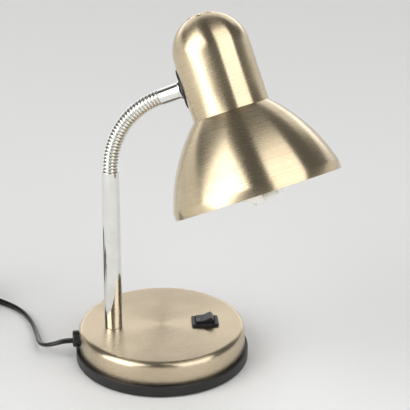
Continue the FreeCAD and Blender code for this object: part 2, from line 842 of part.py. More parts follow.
def link_face(rear, back_radius, rear_outline):
    """Half section of a link in (radius, axial); the rear part is given."""
    front = link_pitch - link_gap / 2
    rib_mid = (link_gap / 2 + front) / 2
    socket_front = sphere_height(socket_radius, link_gap / 2)
    socket_back = sphere_height(socket_radius, link_pitch - link_web)
    socket_mid_offset = (link_gap / 2 + link_pitch - link_web) / 2
    socket_mid = sphere_height(socket_radius, socket_mid_offset)

    def at(radius, axial):
        return Vector(radius, 0, axial)

    edges = list(rear_outline)
    edges.append(Part.LineSegment(at(back_radius, link_gap / 2), at(link_rib_root, link_gap / 2)))
    edges.append(Part.Arc(
        at(link_rib_root, link_gap / 2), at(link_radius, rib_mid), at(link_rib_root, front)))
    edges.append(Part.LineSegment(at(link_rib_root, front), at(socket_front, front)))
    edges.append(Part.Arc(
        at(socket_front, front), at(socket_mid, link_pitch - socket_mid_offset), at(socket_back, link_web)))
    edges.append(Part.LineSegment(at(socket_back, link_web), at(link_bore, link_web)))
    edges.append(Part.LineSegment(at(link_bore, link_web), at(link_bore, rear)))
    return Part.Face(Part.Wire([edge.toShape() for edge in edges]))


def ball_outline():
    """Rear of a link that sits in the socket of the link before it."""
    low = sphere_height(link_ball_radius, link_skirt)
    high = sphere_height(link_ball_radius, link_gap / 2)
    return [
        Part.LineSegment(Vector(link_bore, 0, -link_skirt), Vector(low, 0, -link_skirt)),
        Part.Arc(Vector(low, 0, -link_skirt), Vector(link_ball_radius, 0, 0), Vector(high, 0, link_gap / 2))]


def collar_outline():
    """Rear of the first link, a short collar that stands in the link's upright tail."""
    low = -link_gap / 2
    return [
        Part.LineSegment(Vector(link_bore, 0, low), Vector(link_ball_radius, 0, low)),
        Part.LineSegment(Vector(link_ball_radius, 0, low), Vector(link_ball_radius, 0, link_gap / 2))]


def link_tail():
    """Straight tail of the first link, which is pressed into the stem."""
    low = stem_top - link_tail_length
    tail = ring(link_tail_radius, link_bore + link_tail_step, low, stem_top + link_gap / 4)
    return placed(tail, stem_frame)


def neck_link(number):
    if number == 1:
        face = link_face(-link_gap / 2, link_ball_radius, collar_outline())
    else:
        face = link_face(-link_skirt, sphere_height(link_ball_radius, link_gap / 2), ball_outline())
    solid = face.revolve(Vector(), up, 360)
    direction = neck_direction((number - 0.5) * link_step)
    link = placed(solid, axis_frame(neck_joint(number - 1), direction, sideways))
    return link.fuse(link_tail()) if number == 1 else link


# Ferrule and swivel

def neck_ferrule():
    high = sphere_height(link_ball_radius, link_gap / 2)
    collar_low = ferrule_length - collar_length
    thread_low = swivel_grip_low()
    edges = ball_outline()

    def line(one, two):
        return Part.LineSegment(Vector(one[0], 0, one[1]), Vector(two[0], 0, two[1]))

    edge = ferrule_edge
    stops = [
        (high, link_gap / 2), (ferrule_radius - edge, link_gap / 2), (ferrule_radius, link_gap / 2 + edge),
        (ferrule_radius, collar_low), (collar_radius - edge, collar_low), (collar_radius, collar_low + edge),
        (collar_radius, ferrule_length - edge), (collar_radius - edge, ferrule_length),
        (nipple_radius + thread_fit, ferrule_length), (nipple_radius + thread_fit, thread_low),
        (link_bore, thread_low), (link_bore, -link_skirt)]
    edges += [line(one, two) for one, two in zip(stops, stops[1:])]
    solid = Part.Face(Part.Wire([item.toShape() for item in edges])).revolve(Vector(), up, 360)
    depth = ferrule_radius + dimple_radius - dimple_depth
    dimple = Part.makeSphere(dimple_radius, Vector(-depth, 0, dimple_place))
    return placed(solid.cut(dimple), ferrule_frame)


def swivel_grip_low():
    """Where the swivel nipple ends inside the ferrule."""
    return ferrule_length - swivel_grip


def swivel_nipple():
    low = swivel_grip_low()
    high = shade_reach - nut_seat + nut_height + 1.5
    tube = lathe([
        (nipple_bore, low), (nipple_radius, low, 0.4), (nipple_radius, high, 0.5), (nipple_bore, high)])
    return placed(tube, ferrule_frame)


def swivel_nut():
    low = shade_reach - nut_seat
    nut = hexagon(nut_flats, low, low + nut_height, nipple_radius + thread_fit)
    return placed(nut, ferrule_frame)


def towards_neck(shape):
    """Shape about Z turned to point from the shade's axis towards the neck."""
    return placed(shape, Placement(Vector(0, 0, swivel_height), Rotation(Vector(0, 1, 0), -90)))


def saddle_gasket():
    reach = gasket_radius + 1
    saddle = ring(gasket_outer, dome_radius, swivel_height - reach, swivel_height + reach)
    saddle = saddle.common(towards_neck(rod(gasket_radius, 0, gasket_outer + 1)))
    boss_root = dome_radius - 3
    boss = towards_neck(lathe([
        (0, boss_root), (gasket_boss_radius, boss_root), (gasket_boss_radius, boss_face, 0.2),
        (0, boss_face)]))
    boss = boss.cut(rod(dome_radius, 0, dome_height))
    hole = towards_neck(rod(nipple_radius + swivel_fit, 0, boss_face + 1))
    return placed(saddle.fuse(boss).cut(hole).removeSplitter(), shade_frame)


# Shade

def arc_centre():
    """Centre of the bell's outer arc in (radius, height), from its two ends and its radius."""
    low = Vector(rim_radius, 0, lip_height)
    high = Vector(bell_top_radius, 0, bell_height)
    chord = high - low
    drop = math.sqrt(bell_arc_radius ** 2 - chord.Length ** 2 / 4)
    inward = Vector(-chord.z, 0, chord.x).normalize()
    return (low + high) / 2 + inward * drop


def bell_radius(height, inset):
    """Radius of the bell at a height, less an inset measured square to its wall."""
    centre = arc_centre()
    return centre.x + math.sqrt((bell_arc_radius - inset) ** 2 - (height - centre.z) ** 2)


def shade_side(inset):
    """Corners and arcs of one face of the shade's wall, from the rim to the apex."""
    low = lip_height
    lip = bell_radius(low, inset)
    top = bell_height - inset * 0.3
    crease = bell_height + crease_height
    dome = dome_radius - inset
    middle = (low + top) / 2
    apex_turn = math.radians(45)
    return [
        Part.LineSegment(Vector(lip, 0, 0), Vector(lip, 0, low)),
        Part.Arc(Vector(lip, 0, low), Vector(bell_radius(middle, inset), 0, middle),
                 Vector(bell_radius(top, inset), 0, top)),
        Part.LineSegment(Vector(bell_radius(top, inset), 0, top), Vector(dome, 0, crease)),
        Part.LineSegment(Vector(dome, 0, crease), Vector(dome, 0, dome_height)),
        Part.Arc(Vector(dome, 0, dome_height),
                 Vector(dome * math.cos(apex_turn), 0, dome_height + dome * math.sin(apex_turn)),
                 Vector(0, 0, dome_height + dome))]


def shade():
    outer = shade_side(0)
    inner = shade_side(shade_wall)
    rim = Part.LineSegment(inner[0].StartPoint, outer[0].StartPoint)
    apex = Part.LineSegment(outer[-1].EndPoint, inner[-1].EndPoint)
    edges = [rim] + outer + [apex] + inner
    wires = Part.Wire(Part.__sortEdges__([edge.toShape() for edge in edges]))
    shell = Part.Face(wires).revolve(Vector(), up, 360)
    vent = rod(vent_radius, dome_height, dome_height + dome_radius + 1)
    hole = towards_neck(rod(nipple_radius + swivel_fit, 0, dome_radius + 1))
    shell = shell.cut(around(vent, vent_circle, vent_count, vent_phase) + [hole])
    return placed(shell, shade_frame)


# Lampholder and bracket

def holder_bracket():
    low = bracket_height + bracket_thickness - bracket_tab
    high = bracket_height + bracket_thickness
    plate = rod(dome_bore, bracket_height, high)
    tabs = ring(dome_bore, dome_bore - bracket_thickness, low, high)
    bush_top = high + bracket_bush_rise
    bush = rod(nipple_radius + bracket_bush, bracket_height, bush_top)
    strip = block(bracket_width, 3 * dome_bore, low, bush_top)
    body = plate.fuse([tabs, bush]).common(strip)
    body = body.cut(rod(nipple_hole, low, bush_top))
    return placed(body.removeSplitter(), shade_frame)


def lampholder_body():
    stub_top = holder_top + holder_stub_length
    inner = holder_radius - holder_wall
    body = lathe([
        (inner, holder_mouth), (holder_radius, holder_mouth, holder_edge / 2),
        (holder_radius, holder_top, holder_edge),
        (nipple_radius, holder_top), (nipple_radius, stub_top), (nipple_bore, stub_top),
        (nipple_bore, holder_floor + 2), (contact_radius + 1, holder_floor + 2), (0, holder_floor + 2),
        (0, holder_floor), (inner, holder_floor)])
    return placed(body, shade_frame)


def shell_inner():
    return cap_radius + shell_fit


def lampholder_shell():
    low = bulb_cap_low() + 3
    sleeve = ring(shell_inner() + shell_wall, shell_inner(), low, holder_floor)
    flange = ring(shell_inner() + shell_wall + 1.5, shell_inner(), holder_floor - shell_wall, holder_floor)
    return placed(sleeve.fuse(flange).removeSplitter(), shade_frame)


def bulb_cap_low():
    return holder_mouth + 4


def bulb_tip():
    return bulb_cap_low() + cap_height + cap_tip_height


def lampholder_contact():
    spring = lathe([
        (0, bulb_tip()), (contact_radius, bulb_tip() + 0.8), (contact_radius, holder_floor),
        (0, holder_floor)])
    return placed(spring, shade_frame)


def bulb_cap():
    low = bulb_cap_low()
    thread_pitch = 2.8
    corners = [(0, low), (cap_radius - 0.4, low)]
    height = low + 2
    while height + thread_pitch < low + cap_height - 1:
        corners.append((cap_radius - 0.5, height, 0.6))
        corners.append((cap_radius, height + thread_pitch / 2, 0.6))
        height += thread_pitch
    corners += [
        (cap_radius - 0.6, low + cap_height - 1, 0.6), (cap_tip_radius + 1, low + cap_height),
        (cap_tip_radius, low + cap_height + cap_tip_height - 0.6), (cap_tip_radius - 1, bulb_tip()),
        (0, bulb_tip())]
    return placed(lathe(corners), shade_frame)


def housing_bottom():
    return bulb_cap_low() - housing_length


def bulb_housing():
    low = housing_bottom()
    high = bulb_cap_low()
    body = lathe([
        (0, low), (housing_radius, low, 1), (housing_radius, low + housing_rim, 5),
        (housing_neck_radius, high - 5, 4), (housing_neck_radius, high, 0.5), (0, high)])
    return placed(body, shade_frame)


# Spiral tube of the bulb: two strands come down side by side and a loop joins their ends

def strand_point(angle, height):
    turn = math.radians(angle)
    return Vector(spiral_radius * math.cos(turn), spiral_radius * math.sin(turn), height)


def strand_knots(end_angle, end_height):
    """Knots of one strand from its entry in the housing down to its end."""
    top = housing_bottom() - spiral_lead_in
    turns = (top - end_height) / spiral_pitch
    start_angle = end_angle - 360 * turns
    steps = max(1, round(turns * 4))
    slope = -spiral_pitch / (2 * math.pi * spiral_radius)
    entry_angle = math.radians(start_angle - entry_turn)
    entry = Vector(math.cos(entry_angle), math.sin(entry_angle), 0) * spiral_entry_radius
    entry.z = housing_bottom()
    knots = [(entry, up * -1)]
    for step in range(steps + 1):
        angle = start_angle + (end_angle - start_angle) * step / steps
        height = top + (end_height - top) * step / steps
        turn = math.radians(angle)
        direction = Vector(-math.sin(turn), math.cos(turn), slope).normalize()
        knots.append((strand_point(angle, height), direction))
    return knots


def bulb_tube():
    loop = [(Vector(*point), Vector(*direction).normalize()) for point, direction in loop_knots]
    knots = strand_knots(*first_end) + loop
    knots += [(point, direction * -1) for point, direction in reversed(strand_knots(*second_end))]
    tube = tube_along(biarc_edges(knots), tube_radius)
    tube = placed(tube, Placement(Vector(), Rotation(up, spiral_turn)))
    return placed(tube, shade_frame)


# Every node of the lamp

save("base_cover", base_cover())
save("base_tray", base_tray())
save("ballast_plate", ballast_plate())
save("tray_screws", tray_screws())
save("foot_pad", foot_pad())
save("stem_tube", stem_tube())
save("stem_nipple", stem_nipple())
save("stem_washer", stem_washer())
save("stem_nut", stem_nut())
save("switch_housing", switch_housing())
save("switch_rocker", switch_rocker())
save("switch_terminals", switch_terminals())
save("strain_relief", strain_relief())
save("power_cord", soft_tube("power_cord", cord_route, cord_radius))
save("cord_coil", cord_coil())
save("plug_tail", soft_tube("plug_tail", tail_route(), cord_radius))
save("power_plug", power_plug())
save("plug_pins", plug_pins())
save("base_leads", base_leads())
save("stem_lead", stem_lead())
for number in range(1, link_count + 1):
    save("neck_link_%02d" % number, neck_link(number))
save("neck_ferrule", neck_ferrule())
save("swivel_nipple", swivel_nipple())
save("swivel_nut", swivel_nut())
save("saddle_gasket", saddle_gasket())
save("shade", shade())
save("holder_bracket", holder_bracket())
save("lampholder_body", lampholder_body())
save("lampholder_shell", lampholder_shell())
save("lampholder_contact", lampholder_contact())
save("bulb_cap", bulb_cap())
save("bulb_housing", bulb_housing())
save("bulb_tube", bulb_tube())
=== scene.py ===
import math

import bmesh
import bpy
from mathutils import Matrix, Quaternion, Vector


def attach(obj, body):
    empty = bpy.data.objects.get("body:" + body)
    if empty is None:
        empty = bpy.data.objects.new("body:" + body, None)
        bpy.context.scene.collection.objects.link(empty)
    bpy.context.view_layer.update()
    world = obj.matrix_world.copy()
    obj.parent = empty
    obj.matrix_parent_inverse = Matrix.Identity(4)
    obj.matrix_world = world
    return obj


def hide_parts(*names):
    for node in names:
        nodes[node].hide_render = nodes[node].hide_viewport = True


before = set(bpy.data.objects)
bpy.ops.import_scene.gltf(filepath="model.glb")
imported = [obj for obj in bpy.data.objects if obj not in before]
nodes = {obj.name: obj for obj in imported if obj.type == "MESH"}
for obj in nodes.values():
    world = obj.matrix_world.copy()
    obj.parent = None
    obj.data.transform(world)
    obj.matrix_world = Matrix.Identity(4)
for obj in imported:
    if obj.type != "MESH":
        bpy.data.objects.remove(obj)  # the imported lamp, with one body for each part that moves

mm = 0.001
up = Vector((0, 0, 1))
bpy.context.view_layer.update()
scene = bpy.context.scene


# ---- camera and colour ----

cameraSettings = {"lens": 173.06, "place": (-0.0686, -1.3603, 0.7609), "pitch": 24.85, "heading": -4.31}


def makeCamera(settings):
    data = bpy.data.cameras.new("photoCamera")
    data.lens = settings["lens"]
    data.sensor_width = 36
    data.clip_end = 100
    camera = bpy.data.objects.new("photoCamera", data)
    camera.location = settings["place"]
    camera.rotation_euler = (math.radians(90 - settings["pitch"]), 0, math.radians(settings["heading"]))
    scene.collection.objects.link(camera)
    scene.camera = camera


makeCamera(cameraSettings)
scene.view_settings.view_transform = "Standard"
print("camera made")


# ---- small tools for materials ----

def hexColour(text):
    # sRGB hex to the linear colour that the shaders take
    shares = [int(text[i:i + 2], 16) / 255 for i in (1, 3, 5)]
    linear = [c / 12.92 if c <= 0.04045 else ((c + 0.055) / 1.055) ** 2.4 for c in shares]
    return (*linear, 1.0)


def addNode(tree, kind, settings=None, inputs=None):
    # one node with its settings; an input is a value or an output socket of another node
    node = tree.nodes.new(kind)
    for name, value in (settings or {}).items():
        setattr(node, name, value)
    for name, value in (inputs or {}).items():
        socket = node.inputs[name]
        if isinstance(value, bpy.types.NodeSocket):
            tree.links.new(value, socket)
        else:
            socket.default_value = value
    return node


def newMaterial(name, constants):
    # a material with one Principled shader, whose constants are set on its own sockets
    material = bpy.data.materials.new(name)
    material.use_nodes = True
    tree = material.node_tree
    shader = tree.nodes["Principled BSDF"]
    for socket, value in constants.items():
        shader.inputs[socket].default_value = value
    return material, tree, shader


def rampStops(ramp, stops):
    # sets a colour ramp to (position, hex colour or grey) stops
    elements = ramp.color_ramp.elements
    while len(elements) < len(stops):
        elements.new(0.5)
    for element, (position, colour) in zip(elements, stops):
        element.position = position
        element.color = hexColour(colour) if isinstance(colour, str) else (colour, colour, colour, 1)
    return ramp.outputs["Color"]


# ---- frames of the neck, the ferrule and the shade, as the lamp is built ----

neck = {"stemX": -37.7, "stemTop": 160.3, "bend": 64.83, "heading": -20.6, "links": 28, "pitch": 2.86,
        "shadeReach": 49.75, "twist": 16.67, "swivelHeight": 90.1}

neckStep = math.radians(neck["bend"] / neck["links"])
neckArc = neck["pitch"] / (2 * math.tan(neckStep / 2))
heading = Vector((math.cos(math.radians(neck["heading"])), math.sin(math.radians(neck["heading"])), 0))
sideways = up.cross(heading)


def neckDirection(angle):
    return heading * math.sin(angle) + up * math.cos(angle)


def neckJoint(index):
    # middle of the ball joint after a link
    reach = neckArc / math.cos(neckStep / 2)
    angle = index * neckStep
    start = Vector((neck["stemX"], 0, neck["stemTop"]))
    return start + heading * (neckArc - reach * math.cos(angle)) + up * (reach * math.sin(angle))


def axisFrame(origin, along, across):
    # matrix in metres with its Z along one direction and its X towards another
    turn = Matrix((across, along.cross(across), along)).transposed().to_4x4()
    return Matrix.Translation(Vector(origin) * mm) @ turn @ Matrix.Scale(mm, 4)


bendTurn = math.radians(neck["bend"])
ferruleAxis = neckDirection(bendTurn)
ferruleUp = up * math.sin(bendTurn) - heading * math.cos(bendTurn)
twistTurn = math.radians(neck["twist"])
shadeAxis = ferruleUp * math.cos(twistTurn) + sideways * math.sin(twistTurn)
swivelCentre = neckJoint(neck["links"]) + ferruleAxis * neck["shadeReach"]
shadeOrigin = swivelCentre - shadeAxis * neck["swivelHeight"]
shadeFrame = axisFrame(shadeOrigin, shadeAxis, ferruleAxis)
ferruleFrame = axisFrame(neckJoint(neck["links"]), ferruleAxis, ferruleUp)
baseFrame = axisFrame((0, 0, 0), up, Vector((1, 0, 0)))
stemFrame = axisFrame((neck["stemX"], 0, 0), up, Vector((1, 0, 0)))


# ---- power cord: flat twin flex, from the bush in the base to the plug ----

flex = {
    "route": [(-70, 0, 15.8), (-76.5, 0, 15.8), (-83.3, 0.5, 13.6), (-89.3, 3.9, 10.5), (-94, 9.8, 7.7),
              (-96.4, 18.6, 5.6), (-97.6, 29.3, 4), (-99.3, 40.5, 3), (-101.3, 52, 2.6),
              (-104.4, 63, 2.6), (-109.3, 74.2, 2.6), (-117, 85, 2.6), (-127.3, 94.6, 2.6),
              (-139.5, 104.3, 2.6), (-151, 114.3, 2.6)],
    "tail": [(-214.3, 68.5, 16.6), (-212.4, 57.5, 10.6), (-210.4, 48, 7.4), (-209.4, 39.5, 6.85)],
    "tailEnd": (-208.7, 32.5, 6.85),
    # lies flat in the bush, then stands on edge
    "tilts": [0, 0, 4, 12, 24, 38, 50, 58, 64, 70, 76, 82, 88, 90, 90],
    "tailTilts": [60, 30, 10, 0, 0],
    "coil": {"layers": 4, "layerTurns": 2.088, "innerRadius": 24.3, "pitch": 5.75, "perTurn": 14},
    "width": 5.2, "thickness": 3.2, "waist": 2.3, "length": 1.81}


def coilPoints(settings, entry, direction):
    # turns laid side by side in layers, from the outside in and out again
    coil = settings["coil"]
    start = math.atan2(direction.y, direction.x) - math.pi / 2
    outer = coil["innerRadius"] + coil["pitch"] * coil["layerTurns"]
    centre = entry - Vector((math.cos(start), math.sin(start), 0)) * outer
    turns = coil["layers"] * coil["layerTurns"]
    count = math.ceil(turns * coil["perTurn"])
    points = []
    for step in range(count + 1):
        turn = turns * step / count
        phase = turn / coil["layerTurns"]
        radius = coil["innerRadius"] + coil["pitch"] * coil["layerTurns"] * abs(phase % 2 - 1)
        height = entry.z
        for layer in range(1, coil["layers"]):
            climb = min(max((turn - layer * coil["layerTurns"] + 0.25) * 2, 0), 1)
            height += coil["pitch"] * (1 - math.cos(math.pi * climb)) / 2
        angle = start + 2 * math.pi * turn
        outward = Vector((math.cos(angle), math.sin(angle), 0))
        points.append(Vector((centre.x, centre.y, height)) + outward * radius)
    return points, Vector((-math.sin(angle), math.cos(angle), 0))


def flexSection(settings):
    # two cores side by side with a shallow valley between them, as a closed outline in millimetres
    data = bpy.data.curves.new("flexSection", "CURVE")
    data.dimensions = "2D"
    core = settings["thickness"] / 2
    offset = settings["width"] / 2 - core
    outline = []
    for side, first in ((1, -120), (-1, 60)):
        for step in range(9):
            angle = math.radians(first + 30 * step)
            outline.append((side * offset + core * math.cos(angle), core * math.sin(angle)))
    spline = data.splines.new("POLY")
    spline.points.add(len(outline) - 1)
    for point, (x, y) in zip(spline.points, outline):
        point.co = (x, y, 0, 1)
    spline.use_cyclic_u = True
    section = bpy.data.objects.new("flexSection", data)
    scene.collection.objects.link(section)
    section.hide_render = True
    section.hide_viewport = True
    return section


def makeFlex(settings):
    route = [Vector(point) for point in settings["route"]]
    direction = (route[-1] - route[-2]).normalized()
    turns, leaving = coilPoints(settings, route[-1] + direction * settings["width"], direction)
    afterCoil = [turns[-1] + leaving * settings["width"], turns[-1] + leaving * (settings["width"] + 7)]
    tail = [Vector(point) for point in settings["tail"] + [settings["tailEnd"]]]
    points = route + turns + afterCoil + tail
    tilts = settings["tilts"] + [90] * len(turns) + [88, 78] + settings["tailTilts"]
    data = bpy.data.curves.new("powerFlex", "CURVE")
    data.dimensions = "3D"
    data.twist_mode = "Z_UP"
    data.resolution_u = 6
    data.bevel_mode = "OBJECT"
    data.bevel_object = flexSection(settings)
    data.use_fill_caps = True
    spline = data.splines.new("NURBS")
    spline.points.add(len(points) - 1)
    for item, point, tilt in zip(spline.points, points, tilts):
        item.co = (*(point * mm), 1)
        item.tilt = math.radians(tilt)
        item.radius = mm  # brings the section from millimetres to metres
    spline.order_u = 3
    spline.use_endpoint_u = True
    flexPiece = bpy.data.objects.new("powerFlex", data)
    scene.collection.objects.link(flexPiece)
    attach(flexPiece, "root")
    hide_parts("power_cord", "cord_coil", "plug_tail")
    return flexPiece


flexPiece = makeFlex(flex)
print("cord made")


# ---- small tools for pieces ----

def arcPoints(centre, radius, first, last, steps):
    # points of an arc in (radius, height), angles in degrees from the radius axis
    points = []
    for step in range(steps + 1):
        angle = math.radians(first + (last - first) * step / steps)
        points.append((centre[0] + radius * math.cos(angle), centre[1] + radius * math.sin(angle)))
    return points


def turned(profile, steps=128):
    # bmesh of a closed profile in (radius, height) turned full circle about Z
    mesh = bmesh.new()
    corners = [mesh.verts.new((max(x, 0), 0, z)) for x, z in profile]
    edges = [mesh.edges.new(pair) for pair in zip(corners, corners[1:] + corners[:1])
             if pair[0].co.x > 1e-6 or pair[1].co.x > 1e-6]
    bmesh.ops.spin(mesh, geom=corners + edges, cent=(0, 0, 0), axis=(0, 0, 1), angle=2 * math.pi, steps=steps,
                   use_merge=True)
    bmesh.ops.remove_doubles(mesh, verts=mesh.verts, dist=1e-4)
    bmesh.ops.recalc_face_normals(mesh, faces=mesh.faces)
    return mesh


def makePiece(name, mesh, place, body, materials, replaces=(), sharp=40):
    # turns a bmesh in millimetres into a piece in its place
    mesh.transform(place)
    data = bpy.data.meshes.new(name)
    mesh.to_mesh(data)
    mesh.free()
    for material in materials:
        data.materials.append(material)
    data.shade_smooth()
    data.set_sharp_from_angle(angle=math.radians(sharp))
    piece = bpy.data.objects.new(name, data)
    scene.collection.objects.link(piece)
    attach(piece, body)
    if replaces:
        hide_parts(*replaces)
    return piece


def joined(parts):
    # one bmesh in metres from pairs of a bmesh in millimetres and its place
    whole = bmesh.new()
    for mesh, place in parts:
        mesh.transform(place)
        data = bpy.data.meshes.new("part")
        mesh.to_mesh(data)
        mesh.free()
        whole.from_mesh(data)
        bpy.data.meshes.remove(data)
    return whole


def cutAway(piece, cutters):
    # cuts the cutters' shapes from a piece
    for cutter in cutters:
        scene.collection.objects.link(cutter)
        boolean = piece.modifiers.new("cut", "BOOLEAN")
        boolean.operation = "DIFFERENCE"
        boolean.solver = "EXACT"
        boolean.object = cutter
    bpy.context.view_layer.update()
    cut = bpy.data.meshes.new_from_object(piece.evaluated_get(bpy.context.evaluated_depsgraph_get()))
    piece.modifiers.clear()
    piece.data = cut
    for helper in cutters:
        bpy.data.objects.remove(helper)
    return piece


def cutterFrom(mesh, place):
    # an object that cuts, from a bmesh in millimetres
    mesh.transform(place)
    data = bpy.data.meshes.new("cutter")
    mesh.to_mesh(data)
    mesh.free()
    return bpy.data.objects.new("cutter", data)


def cutterRod(radius, low, high, place, steps=32):
    mesh = bmesh.new()
    bmesh.ops.create_cone(mesh, cap_ends=True, segments=steps, radius1=radius, radius2=radius,
                          depth=high - low)
    bmesh.ops.translate(mesh, verts=mesh.verts, vec=(0, 0, (low + high) / 2))
    return cutterFrom(mesh, place)


def roundedBlock(length, width, low, high, corner):
    # a block centred on Z with rounded upright edges
    mesh = bmesh.new()
    bmesh.ops.create_cube(mesh, size=1)
    bmesh.ops.scale(mesh, verts=mesh.verts, vec=(length, width, high - low))
    bmesh.ops.translate(mesh, verts=mesh.verts, vec=(0, 0, (low + high) / 2))
    uprights = [edge for edge in mesh.edges if abs(edge.verts[0].co.z - edge.verts[1].co.z) > 1e-4]
    bmesh.ops.bevel(mesh, geom=uprights, offset=corner, offset_type="OFFSET", affect="EDGES", segments=1,
                    profile=0.5, material=-1)
    return mesh


# ---- materials ----

def satinNickel(name, axisPlace, colours, roughness, lineWidth, lineDepth):
    # Satin nickel on spun steel: the brush ran round the work while it turned, so highlights stretch
    # across the lines, from the middle outwards, and the colour is a warm champagne.
    material, tree, shader = newMaterial(
        name, {"Metallic": 1.0, "Anisotropic": 0.85, "Anisotropic Rotation": 0.25})
    place = addNode(tree, "ShaderNodeTexCoord").outputs["Object"]
    origin = axisPlace.to_translation()
    axis = (axisPlace.to_3x3() @ up).normalized()

    def vectorMath(operation, *values):
        return addNode(tree, "ShaderNodeVectorMath", {"operation": operation}, dict(enumerate(values)))

    reach = vectorMath("SUBTRACT", place, origin).outputs[0]
    around = vectorMath("CROSS_PRODUCT", axis, reach).outputs[0]
    lines = addNode(tree, "ShaderNodeVectorTransform",
                    {"vector_type": "VECTOR", "convert_from": "OBJECT", "convert_to": "WORLD"},
                    {"Vector": around})
    tangent = vectorMath("NORMALIZE", lines.outputs[0]).outputs[0]
    tree.links.new(tangent, shader.inputs["Tangent"])
    height = vectorMath("DOT_PRODUCT", reach, axis).outputs["Value"]
    span = vectorMath("LENGTH", around).outputs["Value"]
    rings = addNode(tree, "ShaderNodeCombineXYZ", None, {"X": height, "Y": span})
    brush = addNode(tree, "ShaderNodeTexNoise", None,
                    {"Vector": rings.outputs[0], "Scale": 1 / (lineWidth * mm), "Detail": 2.0,
                     "Roughness": 0.6})
    cloud = addNode(tree, "ShaderNodeTexNoise", None, {"Vector": place, "Scale": 45.0, "Detail": 3.0})
    blend = addNode(tree, "ShaderNodeMath", {"operation": "MULTIPLY_ADD", "use_clamp": True},
                    {0: cloud.outputs["Fac"], 1: 0.35, 2: 0.0})
    mixed = addNode(tree, "ShaderNodeMath", {"operation": "MULTIPLY_ADD", "use_clamp": True},
                    {0: brush.outputs["Fac"], 1: 0.65, 2: blend.outputs[0]})
    ramp = addNode(tree, "ShaderNodeValToRGB", None, {"Fac": mixed.outputs[0]})
    tree.links.new(rampStops(ramp, [(0.3, colours[0]), (0.7, colours[1])]), shader.inputs["Base Color"])
    rough = addNode(tree, "ShaderNodeMapRange", None,
                    {"Value": mixed.outputs[0], "From Min": 0.25, "From Max": 0.75,
                     "To Min": roughness + 0.07, "To Max": roughness - 0.07})
    tree.links.new(rough.outputs[0], shader.inputs["Roughness"])
    bump = addNode(tree, "ShaderNodeBump", None,
                   {"Strength": lineDepth, "Distance": 0.00005, "Height": brush.outputs["Fac"]})
    tree.links.new(bump.outputs[0], shader.inputs["Normal"])
    return material


def plainFinish(name, colours, roughness, metallic=0.0, scale=60.0, bumpHeight=0.00002, constants=None):
    # a finish with a slight change of colour and of gloss over the surface, and a fine texture
    material, tree, shader = newMaterial(name, {"Metallic": metallic, **(constants or {})})
    place = addNode(tree, "ShaderNodeTexCoord").outputs["Object"]
    cloud = addNode(tree, "ShaderNodeTexNoise", None, {"Vector": place, "Scale": scale, "Detail": 4.0})
    grain = addNode(tree, "ShaderNodeTexNoise", None, {"Vector": place, "Scale": 1400.0, "Detail": 2.0})
    ramp = addNode(tree, "ShaderNodeValToRGB", None, {"Fac": cloud.outputs["Fac"]})
    tree.links.new(rampStops(ramp, [(0.35, colours[0]), (0.65, colours[1])]), shader.inputs["Base Color"])
    rough = addNode(tree, "ShaderNodeMapRange", None,
                    {"Value": cloud.outputs["Fac"], "From Min": 0.3, "From Max": 0.7, "To Min": roughness[0],
                     "To Max": roughness[1]})
    tree.links.new(rough.outputs[0], shader.inputs["Roughness"])
    bump = addNode(tree, "ShaderNodeBump", None,
                   {"Strength": 0.3, "Distance": bumpHeight, "Height": grain.outputs["Fac"]})
    tree.links.new(bump.outputs[0], shader.inputs["Normal"])
    return material


def markedNylon(base, centre, radius, line):
    # adds a thin grey ring, the mark for off, printed on the nylon round a point seen from above
    tree = base.node_tree
    shader = tree.nodes["Principled BSDF"]
    place = addNode(tree, "ShaderNodeTexCoord").outputs["Object"]
    flat = addNode(tree, "ShaderNodeVectorMath", {"operation": "MULTIPLY"},
                   {0: place, 1: (1, 1, 0)}).outputs[0]
    reach = addNode(tree, "ShaderNodeVectorMath", {"operation": "DISTANCE"},
                    {0: flat, 1: (centre[0] * mm, centre[1] * mm, 0)}).outputs["Value"]
    inLine = addNode(tree, "ShaderNodeMath", {"operation": "COMPARE"},
                     {0: reach, 1: radius * mm, 2: line * mm / 2})
    nylon = shader.inputs["Base Color"].links[0].from_socket
    marked = addNode(tree, "ShaderNodeMixRGB", None,
                     {"Fac": inLine.outputs[0], "Color1": nylon, "Color2": hexColour("#8A8A86")})
    tree.links.new(marked.outputs[0], shader.inputs["Base Color"])
    return base


